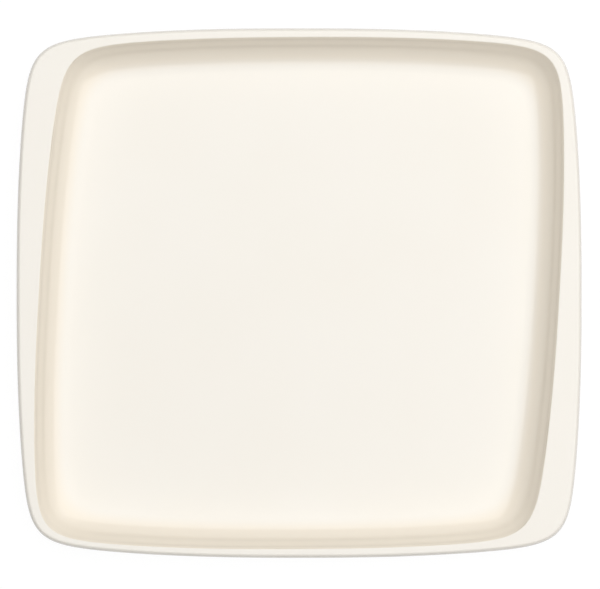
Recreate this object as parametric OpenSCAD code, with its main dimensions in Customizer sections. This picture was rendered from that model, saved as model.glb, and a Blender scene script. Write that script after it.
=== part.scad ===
// A glazed porcelain plate: a square with bowed sides and soft corners. Its well leans a little, so
// the rim is wide at two opposite corners and narrow at the other two.
// All sizes are in millimetres. Z is up, and Z = 0 is the table that the foot ring stands on. X runs
// along the longer way of the plate and Y along the shorter. The origin is under its middle.

/* [Plate] */
// Width of the glazed plate from left to right, across its middle
plate_w = 270; // [220:1:320]
// Depth of the glazed plate from front to back, across its middle
plate_d = 253; // [210:1:300]
// How far the left and right sides bow out beyond the corners
side_bow = 7.9; // [4:0.1:12]
// How far the front and back bow out beyond the corners
end_bow = 8.1; // [4:0.1:12]
// Radius that rounds the corners, before the bows open them out
corner_r = 11.7; // [9:0.1:14]
// Thickness of the rim at its outer edge, without the glaze
rim_t = 4.4; // [3.8:0.1:6]
// Radius between the flat of the rim and the bevel of its outer edge
edge_r = 1.2; // [0.8:0.1:1.6]
// Slope of the bevel, down from the flat of the rim
edge_angle = 72; // [60:1:80]
// Radius from the bevel round to the underside of the rim
under_r = 1.3; // [0.8:0.1:1.6]

/* [Well] */
// Width of the rim at the middle of the left and right sides
side_rim = 10.7; // [8:0.1:20]
// Width of the rim at the middle of the front and back
end_rim = 4.3; // [4:0.1:15]
// How far the back of the well leans to the right, and the front to the left
well_lean = 6.9; // [0:0.1:8]
// How far the right end of the well is turned back, and the left end forward
well_tilt = 0.7; // [0:0.1:1.5]
// How much less the left and right sides of the well bow than those of the plate
side_bow_ease = 0.6; // [0:0.1:2]
// How much less the front and back of the well bow than those of the plate
end_bow_ease = 1.6; // [0:0.1:2.4]
// Radius that rounds the corners of the ridge round the well, before the bows open them out
ridge_corner_r = 12.1; // [10:0.1:16]
// Radius that rounds the corners of the flat floor, before the bows open them out
floor_corner_r = 8; // [6:0.1:12]
// Depth of the well from the rim to the floor
well_depth = 13.5; // [11:0.1:17]
// Angle of the steep part of the well's wall, up from the floor
wall_angle = 63; // [52:1:70]
// Radius of the cove between the wall and the floor
cove_r = 14.4; // [9:0.1:16]
// Radius of the ridge between the wall and the rim
ridge_r = 0.4; // [0.3:0.1:2]
// Thickness of the clay behind the wall
wall_t = 4.4; // [4:0.1:4.8]

/* [Base] */
// Thickness of the clay under the floor
base_t = 4.5; // [4.2:0.1:7]
// Depth of the recess inside the foot ring
foot_h = 2.6; // [2.2:0.1:5]
// Width of the foot ring where it stands
foot_w = 3.4; // [2.6:0.1:6]
// Distance from the ridge inwards to the root of the foot ring's outer side
foot_in = 12.6; // [10:0.1:18]
// How far each side of the foot ring leans in, from its root to the edge of the glaze
foot_draft = 0.5; // [0.1:0.1:1]
// Radius on both sides of the standing edge
foot_r = 0.8; // [0.4:0.1:1.1]
// Height of the bare band between the standing edge's radius and the edge of the glaze
bare_h = 0.4; // [0.2:0.1:0.8]
// Radius of the fillet between the foot ring and the ceiling of the recess
recess_r = 1.8; // [1:0.1:3]

/* [Glaze] */
// Thickness of the glaze
glaze_t = 0.4; // [0.2:0.05:0.6]
// Thickness of the glaze where it ends on the foot ring
glaze_end_t = 0.2; // [0.1:0.05:0.4]

/* [Hidden] */

clay_colour = [0.93, 0.90, 0.85];
glaze_colour = [0.98, 0.96, 0.92];

// Points from the middle of a side to a corner, and how strongly they crowd towards the corner
eighth_steps = 9;
crowding = 1.5;
// Steps along each rounded stretch of the section
cove_steps = 6;
ridge_steps = 3;
edge_steps = 2;
nose_steps = 2;
under_steps = 3;
sweep_steps = 4;
wall_steps = 4;
foot_steps = 2;
recess_steps = 3;

// The bows follow this power of the way from the middle of a side to its corner
bow_power = 2.5;
// The underside leaves the wall's line for the outer edge with this power of the way up
sweep_power = 4;
// Passes that settle a point of an outline: each leaves a sixth of the last one's error at most
passes = 9;

recess_z = foot_h;
floor_z = recess_z + base_t;
rim_z = floor_z + well_depth;
under_z = rim_z - rim_t;
glaze_line_z = foot_r + bare_h;

// Width of the sloping band between the ridge and the flat floor
cove_w = cove_r * sin(wall_angle) + (well_depth - cove_r * (1 - cos(wall_angle))) / tan(wall_angle);
// Length that the ridge's radius takes from the wall and from the rim
ridge_take = ridge_r * tan(wall_angle / 2);
// Height at which the outer edge is widest, and how far in from there the top of the bevel lies
nose_z = under_z + under_r;
bevel_h = rim_z - edge_r * (1 - cos(edge_angle)) - nose_z - under_r * cos(edge_angle);
bevel_in = under_r * (1 - sin(edge_angle)) + bevel_h / tan(edge_angle);
// Radius of the outside of the wall, which runs beside the cove
outside_r = cove_r + wall_t;
outside_centre_z = floor_z + cove_r;
outside_top_z = outside_centre_z - outside_r * cos(wall_angle);
foot_root_angle = asin((cove_w - foot_in) / outside_r);
foot_out_x = foot_in + foot_draft;
foot_inner_x = foot_out_x + foot_w;

// Directions from the middle of the plate to its points, crowded towards the four corners
corner_angle = atan(plate_d / plate_w);

function quarter_turn(step) =
    step < eighth_steps
        ? corner_angle * (1 - pow(1 - step / eighth_steps, crowding))
        : 90 - (90 - corner_angle) * (1 - pow(step / eighth_steps - 1, crowding));

directions = [
    for (quarter = [0:3], step = [0:2 * eighth_steps - 1])
        quarter % 2 == 0
            ? 90 * quarter + quarter_turn(step)
            : 90 * (quarter + 1) - quarter_turn(2 * eighth_steps - step)
];
points_round = len(directions);

// Distance from the middle to a bowed outline. shape is [half width, half depth, side bow, end bow,
// lean, tilt, corner power].
function reach(dir, shape, distance, left) =
    left == 0 ? distance :
    let (
        x_share = distance * dir.x / shape[0],
        y_share = distance * dir.y / shape[1],
        across = abs(distance * dir.x - shape[4] * y_share) + shape[2] * pow(abs(y_share), bow_power),
        along = abs(distance * dir.y - shape[5] * x_share) + shape[3] * pow(abs(x_share), bow_power),
        power = shape[6],
        excess = pow(pow(across / shape[0], power) + pow(along / shape[1], power), 1 / power)
    )
    reach(dir, shape, distance / excess, left - 1);

function outline(half_w, half_d, bow_x, bow_y, lean, tilt, radius) =
    let (
        power = 1 + (half_w + half_d) / sqrt(2) / radius,
        shape = [half_w, half_d, bow_x, bow_y, lean, tilt, power]
    )
    [
        for (angle = directions)
            let (dir = [cos(angle), sin(angle)])
            dir * reach(dir, shape, min(half_w, half_d), passes)
    ];

// Directions square to an outline, pointing out of it
function outward(curve) = [
    for (i = [0:points_round - 1])
        let (
            next = curve[(i + 1) % points_round],
            last = curve[(i + points_round - 1) % points_round],
            along = next - last
        )
        [along.y, -along.x] / norm(along)
];

function mix(a, b, share) = a * (1 - share) + b * share;

// The three outlines that the clay follows: its outer edge, the ridge round the well and the floor
edge_curve = outline(plate_w / 2 - glaze_t, plate_d / 2 - glaze_t, side_bow, end_bow, 0, 0, corner_r);

function well_outline(inset, radius) = outline(
    plate_w / 2 - side_rim - inset,
    plate_d / 2 - end_rim - inset,
    side_bow - side_bow_ease,
    end_bow - end_bow_ease,
    well_lean,
    well_tilt,
    radius
);
ridge_curve = well_outline(0, ridge_corner_r);
floor_curve = well_outline(cove_w, floor_corner_r);

edge_outward = outward(edge_curve);
ridge_outward = outward(ridge_curve);

// Curves at a distance inwards from the ridge, outwards from the ridge, and inwards from the edge
function into_well(distance) = mix(ridge_curve, floor_curve, distance / cove_w);
function onto_rim(distance) = ridge_curve + ridge_outward * distance;
function in_from_edge(distance) = edge_curve - edge_outward * distance;

// A ring is a curve at one height
function ring(curve, z) = [for (p = curve) [p.x, p.y, z]];

// The section of the clay as rings, from the floor outwards, over the rim and down to the foot
cove_rings = [
    for (step = [0:cove_steps])
        let (angle = wall_angle * step / cove_steps)
        ring(into_well(cove_w - cove_r * sin(angle)), floor_z + cove_r * (1 - cos(angle)))
];

ridge_rings = [
    for (step = [0:ridge_steps])
        let (angle = wall_angle * (1 - step / ridge_steps))
        ring(onto_rim(ridge_take - ridge_r * sin(angle)), rim_z - ridge_r * (1 - cos(angle)))
];

// The outer edge: from the rim on to the bevel, from the bevel to the widest place, and on to the underside
edge_rings = [
    for (step = [0:edge_steps])
        let (
            angle = edge_angle * step / edge_steps,
            inset = bevel_in + edge_r * (sin(edge_angle) - sin(angle))
        )
        ring(in_from_edge(inset), rim_z - edge_r * (1 - cos(angle)))
];

nose_rings = [
    for (step = [0:nose_steps])
        let (angle = edge_angle + (90 - edge_angle) * step / nose_steps)
        ring(in_from_edge(under_r * (1 - sin(angle))), nose_z + under_r * cos(angle))
];

under_rings = [
    for (step = [1:under_steps])
        let (angle = 90 * step / under_steps)
        ring(in_from_edge(under_r * (1 - cos(angle))), nose_z - under_r * sin(angle))
];

// Outside of the wall at a height, as a distance outwards from the ridge
function wall_line(z) = wall_t / sin(wall_angle) - (rim_z - z) / tan(wall_angle);
sweep_reach = in_from_edge(under_r) - onto_rim(wall_line(under_z));

sweep_rings = [
    for (step = [1:sweep_steps])
        let (
            share = 1 - step / sweep_steps,
            z = outside_top_z + (under_z - outside_top_z) * share
        )
        ring(onto_rim(wall_line(z)) + sweep_reach * pow(share, sweep_power), z)
];

wall_rings = [
    for (step = [1:wall_steps])
        let (angle = wall_angle + (foot_root_angle - wall_angle) * step / wall_steps)
        ring(into_well(cove_w - outside_r * sin(angle)), outside_centre_z - outside_r * cos(angle))
];

glaze_line_ring = ring(into_well(foot_out_x), glaze_line_z);

// The bare standing edge of the foot, between the two edges of the glaze
standing_rings = concat(
    [
        for (step = [0:foot_steps])
            let (angle = 90 * step / foot_steps)
            ring(into_well(foot_out_x + foot_r * (1 - cos(angle))), foot_r * (1 - sin(angle)))
    ],
    [
        for (step = [0:foot_steps])
            let (angle = 90 * step / foot_steps)
            ring(into_well(foot_inner_x - foot_r * (1 - sin(angle))), foot_r * (1 - cos(angle)))
    ]
);

// The inside of the foot, from the inner edge of the glaze up to the ceiling of the recess
recess_rings = [
    for (step = [0:recess_steps])
        let (angle = 90 * step / recess_steps)
        ring(
            into_well(foot_inner_x + foot_draft + recess_r * (1 - cos(angle)) - foot_draft * cos(angle)),
            glaze_line_z + (recess_z - glaze_line_z) * sin(angle)
        )
];

// Every ring of clay under the main glaze, which is one unbroken coat
coat_rings = concat(
    cove_rings,
    ridge_rings,
    edge_rings,
    nose_rings,
    under_rings,
    sweep_rings,
    wall_rings,
    [glaze_line_ring]
);

// The rings moved square to their surface, out of the clay. The one at end_ring moves least.
function lifted_rings(rings, end_ring) =
    let (top = len(rings) - 1)
    [
        for (r = [0:top])
            let (
                before = rings[max(r - 1, 0)],
                after = rings[min(r + 1, top)],
                thickness = r == end_ring ? glaze_end_t : glaze_t
            )
            [
                for (i = [0:points_round - 1])
                    let (
                        next = rings[r][(i + 1) % points_round],
                        last = rings[r][(i + points_round - 1) % points_round],
                        square = cross(after[i] - before[i], next - last)
                    )
                    rings[r][i] + square / norm(square) * thickness
            ]
    ];

function reversed(list) = [for (i = [len(list) - 1:-1:0]) list[i]];

// Two triangles between four neighbouring points, split along the shorter diagonal
function facets(points, a, b, c, d) =
    norm(points[a] - points[c]) < norm(points[b] - points[d])
        ? [[a, b, c], [a, c, d]]
        : [[a, b, d], [b, c, d]];

// A closed solid through the rings, with a single point at each end
module loft(rings, first_point, last_point) {
    points = concat([first_point], [for (r = rings, p = r) p], [last_point]);
    last_index = len(points) - 1;
    last_start = last_index - points_round;
    bands = [
        for (r = [0:len(rings) - 2], i = [0:points_round - 1])
            let (
                start = 1 + r * points_round,
                next = (i + 1) % points_round
            )
            each facets(
                points,
                start + i,
                start + next,
                start + points_round + next,
                start + points_round + i
            )
    ];
    first_fan = [for (i = [0:points_round - 1]) [0, 1 + (i + 1) % points_round, 1 + i]];
    last_fan = [
        for (i = [0:points_round - 1])
            [last_index, last_start + i, last_start + (i + 1) % points_round]
    ];
    polyhedron(points = points, faces = concat(first_fan, bands, last_fan), convexity = 6);
}

// The fired clay: well, rim, wall and foot ring in one piece
module porcelain_body() {
    color(clay_colour)
        loft(concat(coat_rings, standing_rings, recess_rings), [0, 0, floor_z], [0, 0, recess_z]);
}

// The glaze from the well's floor, over the rim and down to the foot ring
module glaze_coat() {
    color(glaze_colour)
        loft(
            concat(lifted_rings(coat_rings, len(coat_rings) - 1), reversed(coat_rings)),
            [0, 0, floor_z + glaze_t],
            [0, 0, floor_z]
        );
}

// The glaze inside the foot ring
module recess_glaze() {
    color(glaze_colour)
        loft(
            concat(reversed(recess_rings), lifted_rings(recess_rings, 0)),
            [0, 0, recess_z],
            [0, 0, recess_z - glaze_t]
        );
}

porcelain_body();
glaze_coat();
recess_glaze();
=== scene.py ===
"""A glazed porcelain plate, seen from straight above on a plain pale floor in soft studio light.

Everything is in metres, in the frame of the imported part: Z is up, the table is at zero, the origin
is under the middle of the plate and X runs along its longer way. The plate's three pieces are made
here from the part's own outlines and section, with many more points, so that every curve is smooth.
"""

import math

import bpy
import numpy as np
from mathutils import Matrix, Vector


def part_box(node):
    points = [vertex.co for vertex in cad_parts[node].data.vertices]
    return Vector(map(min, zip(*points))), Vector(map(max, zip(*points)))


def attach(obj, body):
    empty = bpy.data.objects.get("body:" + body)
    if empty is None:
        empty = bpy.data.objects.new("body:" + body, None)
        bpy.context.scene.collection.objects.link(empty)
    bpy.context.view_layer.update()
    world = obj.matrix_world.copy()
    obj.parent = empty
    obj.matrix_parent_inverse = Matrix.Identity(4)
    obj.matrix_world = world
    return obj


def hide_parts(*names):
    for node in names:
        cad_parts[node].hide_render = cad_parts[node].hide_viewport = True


MM = 0.001

# Outline of the plate: the bows of its sides and ends, its corners, and the power a bow follows
SIDE_BOW = 7.9 * MM
END_BOW = 8.1 * MM
CORNER_R = 11.7 * MM
BOW_POWER = 2.5

# Outline of the well: the rim beside it, how it leans and tilts, how much less it bows than the
# plate, and the corners of its ridge and of its floor
SIDE_RIM = 10.7 * MM
END_RIM = 4.3 * MM
WELL_LEAN = 6.9 * MM
WELL_TILT = 0.7 * MM
SIDE_BOW_EASE = 0.6 * MM
END_BOW_EASE = 1.6 * MM
RIDGE_CORNER_R = 12.1 * MM
FLOOR_CORNER_R = 8 * MM

# Section of the clay, from the well's floor over the rim to the foot ring
WELL_DEPTH = 13.5 * MM
WALL_ANGLE = math.radians(63)
COVE_R = 14.4 * MM
RIDGE_R = 0.4 * MM
RIM_T = 4.4 * MM
EDGE_R = 1.2 * MM
EDGE_ANGLE = math.radians(72)
UNDER_R = 1.3 * MM
SWEEP_POWER = 4
WALL_T = 4.4 * MM
BASE_T = 4.5 * MM
FOOT_H = 2.6 * MM
FOOT_W = 3.4 * MM
FOOT_IN = 12.6 * MM
FOOT_DRAFT = 0.5 * MM
FOOT_R = 0.8 * MM
BARE_H = 0.4 * MM
RECESS_R = 1.8 * MM

# Thickness of the glaze: where it lies, and where it ends
GLAZE_T = 0.4 * MM
GLAZE_END_T = 0.12 * MM

# A faint swell along the inside of the wall: how far it stands out, how far down it lies, its
# length, and how fast it dies away above and below
SWELL = 0.18 * MM
SWELL_DEPTH = 4.3 * MM
SWELL_LENGTH = 5.8 * MM
SWELL_FADE = 1.1
SWELL_FADE_POWER = 4

# How much of the swell is left at the corners, and how near to a corner its fading begins and ends
SWELL_AT_CORNERS = 0.3
CORNER_FROM = 0.55
CORNER_TO = 0.9

# The glaze's slow waviness: its height, the length of each of its waves, and which way they run
WAVE_HEIGHT = 0.02 * MM
WAVE_LENGTHS = (47 * MM, 61 * MM, 83 * MM)
WAVE_BEARING = 1.1
WAVE_BEARING_STEP = 2.1

# Points from the middle of a side to a corner, how they crowd there, and the passes that find an
# outline
EIGHTH_STEPS = 96
CROWDING = 1.3
PASSES = 16

# Steps along the section, part by part
FLOOR_STEPS = 24
COVE_STEPS = 28
INSIDE_STEPS = 14
RIDGE_STEPS = 10
RIM_STEPS = 8
EDGE_STEPS = 8
BEVEL_STEPS = 4
NOSE_STEPS = 6
UNDER_STEPS = 10
SWEEP_STEPS = 20
WALL_STEPS = 16
FOOT_STEPS = 8
RECESS_STEPS = 10

# The glaze: two creams that lie in clouds, the darker, warmer painted shade on the walls, the
# browner painted shade over the ridge and the outer edge, how much of the second cream and of the
# painted edge shade shows, and its roughness and index of refraction
GLAZE_CREAM = (0.899, 0.857, 0.779)
GLAZE_PALE = (0.915, 0.880, 0.816)
GLAZE_PAINTED_SHADE = (0.906, 0.828, 0.706)
GLAZE_PAINTED_EDGE_SHADE = (0.850, 0.775, 0.660)
PALE_SHARE = 0.35
PAINTED_EDGE_SHADE_SHARE = 0.25
GLAZE_ROUGHNESS = (0.10, 0.16)
GLAZE_IOR = 1.52

# Painted shade: the well's wall turns from plain cream to the darker, warmer painted shade between
# these slopes. Over the ridge the painted shade turns back, which ends at this share of the ridge's
# turn and takes this much of it
PAINTED_SHADE_FROM = math.radians(6)
PAINTED_SHADE_TO = math.radians(34)
PAINTED_SHADE_END = 0.75
PAINTED_SHADE_FADE = 0.5

# The bare clay: its colours, how far its grain and its rubbed places darken it, and its roughness
# in plain and in rubbed places
CLAY = (0.80, 0.745, 0.655)
CLAY_DARK = (0.66, 0.60, 0.51)
GRAIN_SHARE = 0.5
RUBBED_SHARE = 0.45
CLAY_ROUGHNESS = (0.82, 0.6)

# Noises: the size of their features, their detail and their roughness
CLOUDS = (60 * MM, 2, 0.5)
SHEEN = (14 * MM, 5, 0.5)
RIPPLE = (6 * MM, 1, 0.5)
PEEL = (1.1 * MM, 2, 0.5)
GRAIN = (0.35 * MM, 6, 0.7)
RUBBED = (9 * MM, 4, 0.65)
GRIT = (0.5 * MM, 5, 0.5)

# The part of a noise's range that is used, and the heights of those that raise the surface
CLOUDS_RANGE = (0.35, 0.65)
SHEEN_RANGE = (0.3, 0.7)
GRAIN_RANGE = (0.35, 0.75)
RUBBED_RANGE = (0.52, 0.72)
RIPPLE_HEIGHT = 0.006 * MM
PEEL_HEIGHT = 0.0012 * MM
GRIT_HEIGHT = 0.03 * MM

# A Mix node's colour sockets share their names with its other sockets, so they go by number
MIX_COLOURS_IN = (6, 7)
MIX_COLOUR_OUT = 2

# The camera: the photograph's frame in pixels, and the plate's width and its middle in it
PHOTO_W = 600
PHOTO_H = 589
PLATE_PIXELS_W = 566.3
PLATE_MIDDLE_PIXEL = (299.1, 293.05)
CAMERA_HEIGHT = 1.5
SENSOR_W = 36.0

# The floor, and how much of what the camera and reflections see of it is glow
FLOOR_SIZE = 6.0
FLOOR_WHITE = (0.80, 0.80, 0.80)
FLOOR_ROUGHNESS = 0.9
FLOOR_GLOW = 0.88
GLOW_LEVEL = 1.06

# One wide soft box overhead, to the right of the plate and behind it, and an even sky, which is
# faint as a light and white as a background
SOFT_BOX_SIZE = (3.04, 3.05)
SOFT_BOX_PLACE = (0.62, 0.61, 1.50)
SOFT_BOX_POWER = 46.6
SKY_LIGHT = 0.152
SKY_WHITE = 1

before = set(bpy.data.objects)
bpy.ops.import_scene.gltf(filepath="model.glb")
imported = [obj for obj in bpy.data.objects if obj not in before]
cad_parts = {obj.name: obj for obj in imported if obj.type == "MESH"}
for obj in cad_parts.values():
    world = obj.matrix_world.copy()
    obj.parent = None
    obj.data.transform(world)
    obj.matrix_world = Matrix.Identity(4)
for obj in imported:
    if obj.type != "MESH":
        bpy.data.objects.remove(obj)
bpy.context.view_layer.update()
low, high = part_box("glaze_coat")
PLATE_W = high[0] - low[0]
PLATE_D = high[1] - low[1]

# Heights and distances that follow from the section
RECESS_Z = FOOT_H
FLOOR_Z = RECESS_Z + BASE_T
RIM_Z = FLOOR_Z + WELL_DEPTH
UNDER_Z = RIM_Z - RIM_T
GLAZE_LINE_Z = FOOT_R + BARE_H
COVE_H = COVE_R * (1 - math.cos(WALL_ANGLE))
COVE_W = COVE_R * math.sin(WALL_ANGLE) + (WELL_DEPTH - COVE_H) / math.tan(WALL_ANGLE)
RIDGE_TAKE = RIDGE_R * math.tan(WALL_ANGLE / 2)
NOSE_Z = UNDER_Z + UNDER_R
EDGE_H = EDGE_R * (1 - math.cos(EDGE_ANGLE))
BEVEL_H = RIM_Z - EDGE_H - NOSE_Z - UNDER_R * math.cos(EDGE_ANGLE)
BEVEL_IN = UNDER_R * (1 - math.sin(EDGE_ANGLE)) + BEVEL_H / math.tan(EDGE_ANGLE)
OUTSIDE_R = COVE_R + WALL_T
OUTSIDE_CENTRE_Z = FLOOR_Z + COVE_R
OUTSIDE_TOP_Z = OUTSIDE_CENTRE_Z - OUTSIDE_R * math.cos(WALL_ANGLE)
FOOT_ROOT_ANGLE = math.asin((COVE_W - FOOT_IN) / OUTSIDE_R)
FOOT_OUT_X = FOOT_IN + FOOT_DRAFT
FOOT_INNER_X = FOOT_OUT_X + FOOT_W


def directions():
    """Unit vectors from the middle of the plate, crowded towards its corners."""
    corner = math.atan2(PLATE_D, PLATE_W)
    step = np.arange(EIGHTH_STEPS) / EIGHTH_STEPS
    first = corner * (1 - (1 - step) ** CROWDING)
    second = math.pi / 2 - (math.pi / 2 - corner) * (1 - step ** CROWDING)
    quarter = np.concatenate([first, second, [math.pi / 2]])
    half = np.concatenate([quarter[:-1], math.pi - quarter[:0:-1]])
    angles = np.concatenate([half, half + math.pi])
    return np.stack([np.cos(angles), np.sin(angles)], axis=1)


DIRECTIONS = directions()
POINTS_ROUND = len(DIRECTIONS)


def outline(half_w, half_d, bow_x, bow_y, lean, tilt, corner_r):
    """A bowed square with rounded corners, which leans and tilts inside its box."""
    power = 1 + (half_w + half_d) / math.sqrt(2) / corner_r
    distance = np.full(POINTS_ROUND, min(half_w, half_d))
    for _ in range(PASSES):
        x, y = (DIRECTIONS * distance[:, None]).T
        across = np.abs(x - lean * y / half_d) + bow_x * np.abs(y / half_d) ** BOW_POWER
        along = np.abs(y - tilt * x / half_w) + bow_y * np.abs(x / half_w) ** BOW_POWER
        size = (across / half_w) ** power + (along / half_d) ** power
        distance = distance / size ** (1 / power)
    return DIRECTIONS * distance[:, None]


def plate_outline():
    """The clay's own outline, inside the glaze that lies on it."""
    half_w = PLATE_W / 2 - GLAZE_T
    half_d = PLATE_D / 2 - GLAZE_T
    return outline(half_w, half_d, SIDE_BOW, END_BOW, 0, 0, CORNER_R)


def well_outline(inset, corner_r):
    """An outline of the well: its ridge, or one further in."""
    half_w = PLATE_W / 2 - SIDE_RIM - inset
    half_d = PLATE_D / 2 - END_RIM - inset
    bow_x = SIDE_BOW - SIDE_BOW_EASE
    bow_y = END_BOW - END_BOW_EASE
    return outline(half_w, half_d, bow_x, bow_y, WELL_LEAN, WELL_TILT, corner_r)


def outward(curve):
    """Unit vectors square to an outline, pointing out of it."""
    along = np.roll(curve, -1, axis=0) - np.roll(curve, 1, axis=0)
    square = np.stack([along[:, 1], -along[:, 0]], axis=1)
    return square / np.linalg.norm(square, axis=1, keepdims=True)


EDGE_CURVE = plate_outline()
RIDGE_CURVE = well_outline(0, RIDGE_CORNER_R)
FLOOR_CURVE = well_outline(COVE_W, FLOOR_CORNER_R)
EDGE_OUTWARD = outward(EDGE_CURVE)
RIDGE_OUTWARD = outward(RIDGE_CURVE)


def into_well(distance):
    """The curve at a distance inwards from the ridge, which may differ from point to point."""
    share = np.reshape(distance / COVE_W, (-1, 1))
    return RIDGE_CURVE * (1 - share) + FLOOR_CURVE * share


def onto_rim(distance):
    """The curve at a distance outwards from the ridge."""
    return RIDGE_CURVE + RIDGE_OUTWARD * distance


def in_from_edge(distance):
    """The curve at a distance inwards from the outer edge."""
    return EDGE_CURVE - EDGE_OUTWARD * distance


def ring(curve, z):
    """A curve at one height."""
    return np.column_stack([curve, np.full(len(curve), z)])


def turn(first, last, steps):
    """Angles or shares in even steps from first to last, both included."""
    return np.linspace(first, last, steps + 1)


def dip(radius, angle):
    """How far an arc leaves its tangent after a turn through an angle."""
    return radius * (1 - math.cos(angle))


def smooth(share):
    """From 0 to 1 with level ends."""
    share = np.clip(share, 0, 1)
    return share * share * (3 - 2 * share)


def corner_share():
    """From 0 along the sides of the ridge to 1 at its corners."""
    nearness = np.min(np.abs(RIDGE_CURVE) / np.abs(RIDGE_CURVE).max(axis=0), axis=1)
    return smooth((nearness - CORNER_FROM) / (CORNER_TO - CORNER_FROM))


def swell(z):
    """How far the wall stands into the well at a height: a wave that dies away up and down."""
    depth = RIM_Z - z
    off = (depth - SWELL_DEPTH) / SWELL_LENGTH
    wave = math.sin(2 * math.pi * off) * math.exp(-((SWELL_FADE * off) ** SWELL_FADE_POWER))
    return SWELL * wave * (1 - (1 - SWELL_AT_CORNERS) * corner_share())


def floor_rings():
    """The flat of the well's floor, from its middle out to the cove."""
    shares = turn(0, 1, FLOOR_STEPS)[1:-1]
    return [ring(FLOOR_CURVE * share, FLOOR_Z) for share in shares]


def cove_rings():
    """The radius between the floor and the wall."""
    rings = []
    for a in turn(0, WALL_ANGLE, COVE_STEPS):
        z = FLOOR_Z + dip(COVE_R, a)
        rings.append(ring(into_well(COVE_W - COVE_R * math.sin(a) + swell(z)), z))
    return rings


def inside_rings():
    """The straight of the wall, between the cove and the ridge."""
    first_z = FLOOR_Z + COVE_H
    last_z = RIM_Z - dip(RIDGE_R, WALL_ANGLE)
    return [
        ring(into_well((RIM_Z - z) / math.tan(WALL_ANGLE) + swell(z)), z)
        for z in turn(first_z, last_z, INSIDE_STEPS)[1:-1]
    ]


def ridge_rings():
    """The radius between the wall and the rim."""
    return [
        ring(onto_rim(RIDGE_TAKE - RIDGE_R * math.sin(a)), RIM_Z - dip(RIDGE_R, a))
        for a in turn(WALL_ANGLE, 0, RIDGE_STEPS)
    ]


def rim_rings():
    """The flat of the rim, between the radius of the ridge and that of the outer edge."""
    inner, outer = onto_rim(RIDGE_TAKE), in_from_edge(BEVEL_IN + EDGE_R * math.sin(EDGE_ANGLE))
    return [ring(inner * (1 - s) + outer * s, RIM_Z) for s in turn(0, 1, RIM_STEPS)[1:-1]]


def edge_rings():
    """The radius between the rim and the bevel of the outer edge."""
    rings = []
    for a in turn(0, EDGE_ANGLE, EDGE_STEPS):
        inwards = BEVEL_IN + EDGE_R * (math.sin(EDGE_ANGLE) - math.sin(a))
        rings.append(ring(in_from_edge(inwards), RIM_Z - dip(EDGE_R, a)))
    return rings


def nose_rings():
    """The bevel, and from it to the widest place of the outer edge."""
    top, foot = edge_rings()[-1], nose_ring(EDGE_ANGLE)
    bevel = [top * (1 - s) + foot * s for s in turn(0, 1, BEVEL_STEPS)[1:-1]]
    return bevel + [nose_ring(a) for a in turn(EDGE_ANGLE, math.pi / 2, NOSE_STEPS)]


def nose_ring(a):
    """One ring of the radius that carries the outer edge round to the underside."""
    return ring(in_from_edge(UNDER_R * (1 - math.sin(a))), NOSE_Z + UNDER_R * math.cos(a))


def under_rings():
    """From the widest place round to the underside of the rim."""
    return [nose_ring(a) for a in turn(math.pi / 2, math.pi, UNDER_STEPS)[1:]]


def wall_line(z):
    """Outside of the straight wall at a height, as a distance outwards from the ridge."""
    return WALL_T / math.sin(WALL_ANGLE) - (RIM_Z - z) / math.tan(WALL_ANGLE)


def sweep_rings():
    """The underside of the rim, from the outer edge down to the wall."""
    reach = in_from_edge(UNDER_R) - onto_rim(wall_line(UNDER_Z))
    rings = []
    for share in turn(1, 0, SWEEP_STEPS)[1:]:
        z = OUTSIDE_TOP_Z + (UNDER_Z - OUTSIDE_TOP_Z) * share
        rings.append(ring(onto_rim(wall_line(z)) + reach * share ** SWEEP_POWER, z))
    return rings


def wall_rings():
    """The outside of the wall, round to the root of the foot ring."""
    rings = []
    for a in turn(WALL_ANGLE, FOOT_ROOT_ANGLE, WALL_STEPS)[1:]:
        z = OUTSIDE_CENTRE_Z - OUTSIDE_R * math.cos(a)
        rings.append(ring(into_well(COVE_W - OUTSIDE_R * math.sin(a)), z))
    return rings


def foot_side_rings():
    """The outer side of the foot ring, from its root to the edge of the glaze."""
    root_z = OUTSIDE_CENTRE_Z - OUTSIDE_R * math.cos(FOOT_ROOT_ANGLE)
    rings = []
    for a in turn(0, math.pi / 2, FOOT_STEPS)[1:]:
        z = root_z + (GLAZE_LINE_Z - root_z) * (1 - math.cos(a))
        rings.append(ring(into_well(FOOT_IN + FOOT_DRAFT * math.sin(a)), z))
    return rings


def standing_rings():
    """The bare standing edge of the foot ring."""
    outer = [
        ring(into_well(FOOT_OUT_X + dip(FOOT_R, a)), FOOT_R * (1 - math.sin(a)))
        for a in turn(0, math.pi / 2, FOOT_STEPS)
    ]
    inner = [
        ring(into_well(FOOT_INNER_X - FOOT_R * (1 - math.sin(a))), dip(FOOT_R, a))
        for a in turn(0, math.pi / 2, FOOT_STEPS)
    ]
    return outer + inner


def recess_rings():
    """The inner side of the foot ring and the ceiling of the recess, in to its middle."""
    side = []
    for a in turn(0, math.pi / 2, RECESS_STEPS):
        inwards = FOOT_INNER_X + FOOT_DRAFT + dip(RECESS_R, a) - FOOT_DRAFT * math.cos(a)
        z = GLAZE_LINE_Z + (RECESS_Z - GLAZE_LINE_Z) * math.sin(a)
        side.append(ring(into_well(inwards), z))
    last = side[-1][:, :2]
    return side + [ring(last * share, RECESS_Z) for share in turn(1, 0, FLOOR_STEPS)[1:-1]]


def point(z):
    """The point on the plate's middle axis at a height, repeated all round."""
    return np.tile([0, 0, z], (POINTS_ROUND, 1))


def normals(rings, before, after):
    """Unit vectors square to the surface through the rings. before and after lie next to them."""
    path = np.concatenate([rings[1:], [after]]) - np.concatenate([[before], rings[:-1]])
    around = np.roll(rings, -1, axis=1) - np.roll(rings, 1, axis=1)
    square = np.cross(path, around)
    return square / np.linalg.norm(square, axis=2, keepdims=True)


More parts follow.
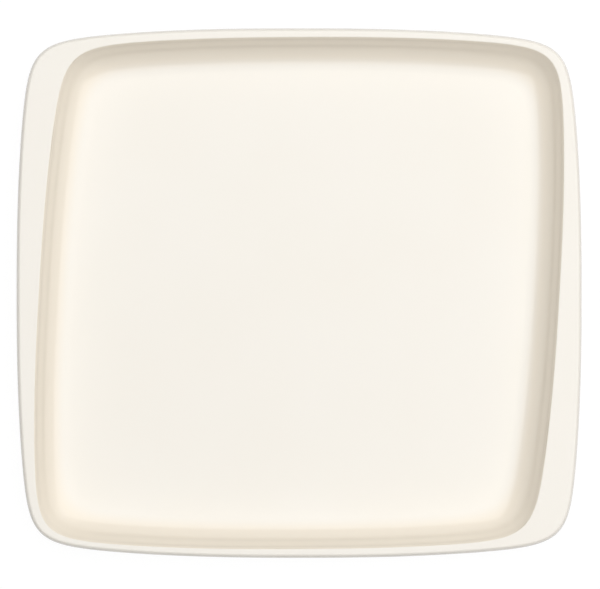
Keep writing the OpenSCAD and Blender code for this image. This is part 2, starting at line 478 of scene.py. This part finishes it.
def turn_evenly(square, rings, first):
    """From ring first on, lets the directions turn evenly along the path, so no skin folds."""
    steps = np.linalg.norm(np.diff(rings[first:], axis=0), axis=2)
    way = np.concatenate([np.zeros((1, POINTS_ROUND)), np.cumsum(steps, axis=0)])
    share = (way / way[-1])[..., None]
    mixed = square[first] * (1 - share) + square[-1] * share
    square[first:] = mixed / np.linalg.norm(mixed, axis=2, keepdims=True)


def waves(rings):
    """The glaze's slow waviness, from -1 to 1, as a sum of waves that cross each other."""
    x, y, z = rings[..., 0], rings[..., 1], rings[..., 2]
    total = np.zeros(x.shape)
    for index, length in enumerate(WAVE_LENGTHS):
        bearing = WAVE_BEARING + WAVE_BEARING_STEP * index
        along = x * math.cos(bearing) + y * math.sin(bearing) + z
        total += np.sin(2 * math.pi * along / length + bearing)
    return total / len(WAVE_LENGTHS)


def skin_over(clay, square, end, wave_share):
    """The outside of a coat over the clay's rings. Ring end is where the glaze stops."""
    thickness = np.full(len(clay), GLAZE_T)
    thickness[end] = GLAZE_END_T
    rise = thickness[:, None] + WAVE_HEIGHT * waves(clay) * wave_share
    return clay + square * rise[..., None]


def loft(name, rings, first_z, last_z):
    """A closed mesh through the rings, with a point on the middle axis at each end."""
    count = len(rings)
    points = np.concatenate([[[0, 0, first_z]], rings.reshape(-1, 3), [[0, 0, last_z]]])
    index = 1 + np.arange(count * POINTS_ROUND).reshape(count, POINTS_ROUND)
    after = np.roll(index, -1, axis=1)
    quads = np.stack([index[:-1], index[1:], after[1:], after[:-1]], axis=-1).reshape(-1, 4)
    last_index = len(points) - 1
    first_fan = [(0, a, b) for a, b in zip(index[0], after[0])]
    last_fan = [(last_index, b, a) for a, b in zip(index[-1], after[-1])]
    mesh = bpy.data.meshes.new(name)
    faces = [tuple(map(int, f)) for f in first_fan + last_fan] + quads.tolist()
    mesh.from_pydata(points.tolist(), [], faces)
    mesh.shade_smooth()
    piece = bpy.data.objects.new(name, mesh)
    bpy.context.scene.collection.objects.link(piece)
    return piece


def mark(piece, name, values):
    """Keeps one number for each ring on the mesh, where a material reads it by name."""
    attribute = piece.data.attributes.new(name, "FLOAT", "POINT")
    whole = np.concatenate([[values[0]], np.repeat(values, POINTS_ROUND), [values[-1]]])
    attribute.data.foreach_set("value", whole.astype(np.float32))


def settle(piece, node, material):
    """The piece stands for its CAD node, on the plate's only body."""
    piece.data.materials.append(material)
    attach(piece, "root")
    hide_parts(node)


class Nodes:
    """A short way to build the nodes of a new material or world."""

    def __init__(self, owner, shader="Principled BSDF"):
        owner.use_nodes = True
        self.tree = owner.node_tree
        self.shader = self.tree.nodes[shader]

    def add(self, kind, **values):
        node = self.tree.nodes.new(kind)
        for key, value in values.items():
            setattr(node, key, value)
        return node

    def join(self, output, socket):
        self.tree.links.new(output, socket)

    def noise(self, size, detail, roughness):
        """Noise whose features are about size metres across, from 0 to 1."""
        node = self.add("ShaderNodeTexNoise")
        node.inputs["Scale"].default_value = 1 / size
        node.inputs["Detail"].default_value = detail
        node.inputs["Roughness"].default_value = roughness
        self.join(self.add("ShaderNodeTexCoord").outputs["Object"], node.inputs["Vector"])
        return node.outputs["Fac"]

    def spread(self, value, source, target):
        """value moved from one range to another, and kept inside it."""
        node = self.add("ShaderNodeMapRange")
        names = ("From Min", "From Max", "To Min", "To Max")
        for name, number in zip(names, (*source, *target)):
            node.inputs[name].default_value = number
        self.join(value, node.inputs["Value"])
        return node.outputs["Result"]

    def larger(self, first, second):
        node = self.add("ShaderNodeMath", operation="MAXIMUM")
        for socket, value in zip(node.inputs, (first, second)):
            self.join(value, socket)
        return node.outputs["Value"]

    def tint(self, share, first, second):
        """A colour from first to second as share goes from 0 to 1. Either may be a socket."""
        node = self.add("ShaderNodeMix", data_type="RGBA")
        self.join(share, node.inputs["Factor"])
        for number, colour in zip(MIX_COLOURS_IN, (first, second)):
            if isinstance(colour, tuple):
                node.inputs[number].default_value = (*colour, 1)
            else:
                self.join(colour, node.inputs[number])
        return node.outputs[MIX_COLOUR_OUT]

    def blend(self, share, first, second):
        """A shader that goes from first to second as share goes from 0 to 1."""
        node = self.add("ShaderNodeMixShader")
        for socket, value in zip(node.inputs, (share, first, second)):
            self.join(value, socket)
        return node.outputs["Shader"]

    def bump(self, height, distance, under=None):
        """A surface raised by up to distance, on top of another such surface if one is given."""
        node = self.add("ShaderNodeBump")
        node.inputs["Strength"].default_value = 1
        node.inputs["Distance"].default_value = distance
        self.join(height, node.inputs["Height"])
        if under:
            self.join(under, node.inputs["Normal"])
        return node.outputs["Normal"]

    def mark(self, name):
        """The number that mark() keeps on the mesh by this name."""
        return self.add("ShaderNodeAttribute", attribute_name=name).outputs["Fac"]

    def seen(self):
        """1 for the rays that show this surface as a background, 0 for those that only light."""
        path = self.add("ShaderNodeLightPath")
        share = path.outputs["Is Camera Ray"]
        for ray in ("Is Glossy Ray", "Is Transmission Ray"):
            share = self.larger(share, path.outputs[ray])
        return share


def glaze_material():
    """Cream glaze: glossy, faintly clouded, with warmer painted shade on the walls, and browner
    painted shade over the ridge and the outer edge.
    """
    material = bpy.data.materials.new("cream_glaze")
    n = Nodes(material)
    cloud = n.spread(n.noise(*CLOUDS), CLOUDS_RANGE, (0, PALE_SHARE))
    colour = n.tint(cloud, GLAZE_CREAM, GLAZE_PALE)
    # Painted shade: the walls darker and warmer, more so the steeper they are
    colour = n.tint(n.mark("painted_shade"), colour, GLAZE_PAINTED_SHADE)
    # Painted shade: browner over the ridge and the outer edge
    colour = n.tint(n.spread(n.mark("painted_edge_shade"), (0, 1), (0, PAINTED_EDGE_SHADE_SHARE)), colour, GLAZE_PAINTED_EDGE_SHADE)
    n.join(colour, n.shader.inputs["Base Color"])
    roughness = n.spread(n.noise(*SHEEN), SHEEN_RANGE, GLAZE_ROUGHNESS)
    n.join(roughness, n.shader.inputs["Roughness"])
    n.shader.inputs["IOR"].default_value = GLAZE_IOR
    ripple = n.bump(n.noise(*RIPPLE), RIPPLE_HEIGHT)
    peel = n.bump(n.noise(*PEEL), PEEL_HEIGHT, under=ripple)
    n.join(peel, n.shader.inputs["Normal"])
    return material


def clay_material():
    """Bare fired clay: matt, slightly gritty, and rubbed darker and smoother in places."""
    material = bpy.data.materials.new("bare_porcelain")
    n = Nodes(material)
    grain = n.spread(n.noise(*GRAIN), GRAIN_RANGE, (0, GRAIN_SHARE))
    rubbed = n.spread(n.noise(*RUBBED), RUBBED_RANGE, (0, RUBBED_SHARE))
    colour = n.tint(rubbed, n.tint(grain, CLAY, CLAY_DARK), CLAY_DARK)
    n.join(colour, n.shader.inputs["Base Color"])
    roughness = n.spread(rubbed, (0, RUBBED_SHARE), CLAY_ROUGHNESS)
    n.join(roughness, n.shader.inputs["Roughness"])
    n.join(n.bump(n.noise(*GRIT), GRIT_HEIGHT), n.shader.inputs["Normal"])
    return material


def coat_parts():
    """The clay's rings under the main coat, part by part: rings, and their two marks of painted
    shade.

    The first mark is how much browner painted shade the glaze has there over the ridge and the outer
    edge, and the second how much darker, warmer painted shade it has on the walls.
    """
    # The painted shade on the walls grows with the cove's slope
    cove = smooth((turn(0, WALL_ANGLE, COVE_STEPS) - PAINTED_SHADE_FROM) / (PAINTED_SHADE_TO - PAINTED_SHADE_FROM))
    # Browner painted shade over the outer edge's radius and bevel, and over the ridge
    ridge = turn(0, 1, RIDGE_STEPS)
    edge = smooth(turn(0, 1, EDGE_STEPS))
    nose = smooth(1 - turn(0, 1, BEVEL_STEPS + NOSE_STEPS)[1:])
    wall = smooth(turn(0, 1, WALL_STEPS)[1:])
    return (
        (floor_rings(), 0, 0),
        (cove_rings(), 0, cove),
        (inside_rings(), 0, 1),
        (ridge_rings(), 1 - np.abs(2 * ridge - 1), smooth((PAINTED_SHADE_END - ridge) / PAINTED_SHADE_FADE)),
        (rim_rings(), 0, 0),
        (edge_rings(), edge, 0),
        (nose_rings(), nose, 0),
        (under_rings(), 0, 0),
        (sweep_rings(), 0, 0),
        (wall_rings(), 0, wall),
        (foot_side_rings(), 0, 1),
    )


def join_parts(parts):
    """The parts' rings and the two marks, each as one array."""
    rings = np.concatenate([part[0] for part in parts])
    painted_edge_shade, painted_shade = [
        np.concatenate([np.zeros(len(part[0])) + part[i] for part in parts]) for i in (1, 2)
    ]
    return rings, painted_edge_shade, painted_shade


def make_glaze_coat(clay, painted_edge_shade, painted_shade, material):
    """The main coat: its outer skin over the clay, and back along the clay."""
    foot_root = len(clay) - FOOT_STEPS - 1
    square = normals(clay, point(FLOOR_Z), clay[-1])
    turn_evenly(square, clay, foot_root)
    above_line = clay[:, 0, 2] > GLAZE_LINE_Z
    outer = skin_over(clay, square, -1, above_line[:, None])
    rings = np.concatenate([outer, clay[::-1]])
    piece = loft("glaze_coat_skin", rings, FLOOR_Z + GLAZE_T, FLOOR_Z)
    mark(piece, "painted_edge_shade", np.concatenate([painted_edge_shade, painted_edge_shade[::-1]]))
    mark(piece, "painted_shade", np.concatenate([painted_shade, painted_shade[::-1]]))
    settle(piece, "glaze_coat", material)


def make_recess_glaze(recess, material):
    """The coat inside the foot ring, along the clay first and back over it."""
    square = normals(recess, recess[0], point(RECESS_Z))
    outer = skin_over(recess, square, 0, 1)
    rings = np.concatenate([recess[::-1], outer])
    piece = loft("recess_glaze_skin", rings, RECESS_Z, RECESS_Z - GLAZE_T)
    for name in ("painted_edge_shade", "painted_shade"):
        mark(piece, name, np.zeros(len(rings)))
    settle(piece, "recess_glaze", material)


def make_body(clay, recess, material):
    """The fired clay, which shows only on the foot's standing edge."""
    rings = np.concatenate([clay, standing_rings(), recess])
    piece = loft("porcelain_body_clay", rings, FLOOR_Z, RECESS_Z)
    settle(piece, "porcelain_body", material)


def make_plate():
    clay, painted_edge_shade, painted_shade = join_parts(coat_parts())
    recess = np.array(recess_rings())
    glaze = glaze_material()
    make_glaze_coat(clay, painted_edge_shade, painted_shade, glaze)
    make_recess_glaze(recess, glaze)
    make_body(clay, recess, clay_material())


def make_camera():
    """Straight above the plate, with the framing of the photograph."""
    pixel = PLATE_W / PLATE_PIXELS_W
    data = bpy.data.cameras.new("camera")
    data.sensor_width = SENSOR_W
    data.lens = SENSOR_W * (CAMERA_HEIGHT - RIM_Z) / (pixel * PHOTO_W)
    camera = bpy.data.objects.new("camera", data)
    right = (PHOTO_W / 2 - PLATE_MIDDLE_PIXEL[0]) * pixel
    down = (PHOTO_H / 2 - PLATE_MIDDLE_PIXEL[1]) * pixel
    camera.location = (right, -down, CAMERA_HEIGHT)
    bpy.context.scene.collection.objects.link(camera)
    bpy.context.scene.camera = camera


def make_soft_box():
    """The studio's only lamp, level and facing straight down."""
    data = bpy.data.lights.new("soft_box", "AREA")
    data.shape = "RECTANGLE"
    data.size, data.size_y = SOFT_BOX_SIZE
    data.energy = SOFT_BOX_POWER
    lamp = bpy.data.objects.new("soft_box", data)
    lamp.location = SOFT_BOX_PLACE
    bpy.context.scene.collection.objects.link(lamp)


def make_floor():
    """A plain pale floor, part glow where it is seen, which keeps it white round the plate."""
    material = bpy.data.materials.new("studio_floor")
    n = Nodes(material)
    n.shader.inputs["Base Color"].default_value = (*FLOOR_WHITE, 1)
    n.shader.inputs["Roughness"].default_value = FLOOR_ROUGHNESS
    glow = n.add("ShaderNodeEmission")
    glow.inputs["Strength"].default_value = GLOW_LEVEL
    share = n.spread(n.seen(), (0, 1), (0, FLOOR_GLOW))
    both = n.blend(share, n.shader.outputs["BSDF"], glow.outputs["Emission"])
    n.join(both, n.tree.nodes["Material Output"].inputs["Surface"])
    half = FLOOR_SIZE / 2
    mesh = bpy.data.meshes.new("studio_floor")
    corners = [(-half, -half, 0), (half, -half, 0), (half, half, 0), (-half, half, 0)]
    mesh.from_pydata(corners, [], [(0, 1, 2, 3)])
    mesh.materials.append(material)
    floor = bpy.data.objects.new("studio_floor", mesh)
    bpy.context.scene.collection.objects.link(floor)


def make_world():
    """The even sky."""
    world = bpy.data.worlds.new("studio")
    bpy.context.scene.world = world
    n = Nodes(world, "Background")
    n.shader.inputs["Color"].default_value = (1, 1, 1, 1)
    n.join(n.spread(n.seen(), (0, 1), (SKY_LIGHT, SKY_WHITE)), n.shader.inputs["Strength"])


make_camera()
make_plate()
make_floor()
make_soft_box()
make_world()
bpy.context.scene.view_settings.view_transform = "Standard"
